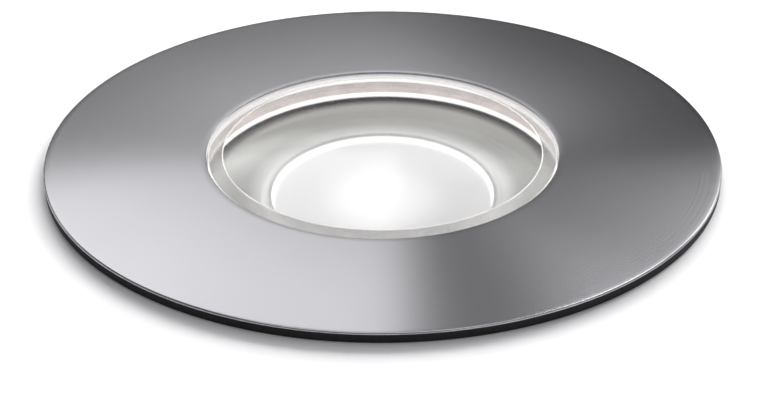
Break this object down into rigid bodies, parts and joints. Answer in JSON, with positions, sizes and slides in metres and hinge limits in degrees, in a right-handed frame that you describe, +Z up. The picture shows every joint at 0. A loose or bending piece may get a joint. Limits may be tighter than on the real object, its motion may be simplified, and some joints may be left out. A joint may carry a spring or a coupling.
{
  "type": "in ground well light",
  "caption": "Round flush ground light: brushed steel trim, thick clear glass over a lit opal disc, finned sealed body that lifts out of a plastic sleeve.",
  "frame": {"origin": "on the lamp's axis at ground level, where the gasket under the trim plate meets the ground and the sleeve's rim", "axes": "+Z up along the lamp's axis; +X towards the open conduit entry of the sleeve"},
  "size_m": [0.125, 0.125, 0.1076],
  "materials": {
    "brushed_stainless": "turned and brushed",
    "black_rubber": "matte",
    "clear_glass": "polished",
    "clear_silicone": "satin",
    "die_cast_aluminium": "as cast",
    "anodised_dish": "satin anodised",
    "opal_acrylic": "opal, lit",
    "white_moulding": "matte",
    "white_solder_mask": "satin",
    "led_phosphor": "lit",
    "grey_pad": "matte",
    "stainless_fastener": "plain",
    "spring_steel": "rolled",
    "wire_jacket": "satin",
    "green_board": "satin",
    "ferrite": "matte",
    "can_sleeve": "satin",
    "copper_winding": "lacquered wire",
    "grey_moulding": "matte",
    "brass_screw": "plain",
    "nickelled_brass": "nickel plated",
    "black_polypropylene": "moulded"
  },
  "bodies": {
    "mounting_well": {"mounting_sleeve": "black_polypropylene", "conduit_hub": "grey_moulding", "entry_plug": "black_polypropylene"},
    "lamp_unit": {"trim_plate": "brushed_stainless", "rim_gasket": "black_rubber", "trim_studs": "stainless_fastener", "trim_nuts": "stainless_fastener", "glass_lens": "clear_glass", "glass_top_seal": "clear_silicone", "glass_seat_seal": "clear_silicone", "bezel_ring": "die_cast_aluminium", "lamp_housing": "die_cast_aluminium", "housing_o_ring": "black_rubber", "housing_screws": "stainless_fastener", "reflector_dish": "anodised_dish", "diffuser_disc": "opal_acrylic", "light_cup": "white_moulding", "led_board": "white_solder_mask", "led_chips": "led_phosphor", "thermal_pad": "grey_pad", "board_screws": "stainless_fastener", "lead_connector": "white_moulding", "led_leads": "wire_jacket", "driver_board": "green_board", "driver_screws": "stainless_fastener", "driver_transformer": "ferrite", "driver_capacitors": "can_sleeve", "driver_choke": "copper_winding", "terminal_block": "grey_moulding", "terminal_screws": "brass_screw", "earth_screw": "brass_screw", "bottom_cover": "die_cast_aluminium", "cover_o_ring": "black_rubber", "cover_screws": "stainless_fastener", "breather_valve": "black_polypropylene", "gland_washer": "black_rubber", "gland_body": "nickelled_brass", "gland_locknut": "nickelled_brass", "gland_seal": "black_rubber", "gland_nut": "nickelled_brass", "grip_pins": "stainless_fastener"},
    "arm_1": {"grip_arm_1": "stainless_fastener", "grip_spring_1": "spring_steel"},
    "arm_2": {"grip_arm_2": "stainless_fastener", "grip_spring_2": "spring_steel"},
    "arm_3": {"grip_arm_3": "stainless_fastener", "grip_spring_3": "spring_steel"}
  },
  "joints": [
    {"name": "lamp_lift", "type": "slide", "parent": "mounting_well", "child": "lamp_unit", "axis": [0, 0, 1], "range_m": [0, 0.095]},
    {"name": "arm_1_swing", "type": "hinge", "parent": "lamp_unit", "child": "arm_1", "pos_m": [0.03377, 0.0195, -0.024], "axis": [-0.5, 0.866, 0], "range_deg": [0, 15], "stiffness_Nm_per_rad": 0.05, "springref_deg": -34.38},
    {"name": "arm_2_swing", "type": "hinge", "parent": "lamp_unit", "child": "arm_2", "pos_m": [-0.03377, 0.0195, -0.024], "axis": [-0.5, -0.866, 0], "range_deg": [0, 15], "stiffness_Nm_per_rad": 0.05, "springref_deg": -34.38},
    {"name": "arm_3_swing", "type": "hinge", "parent": "lamp_unit", "child": "arm_3", "pos_m": [0, -0.039, -0.024], "axis": [1, 0, 0], "range_deg": [0, 15], "stiffness_Nm_per_rad": 0.05, "springref_deg": -34.38}
  ]
}
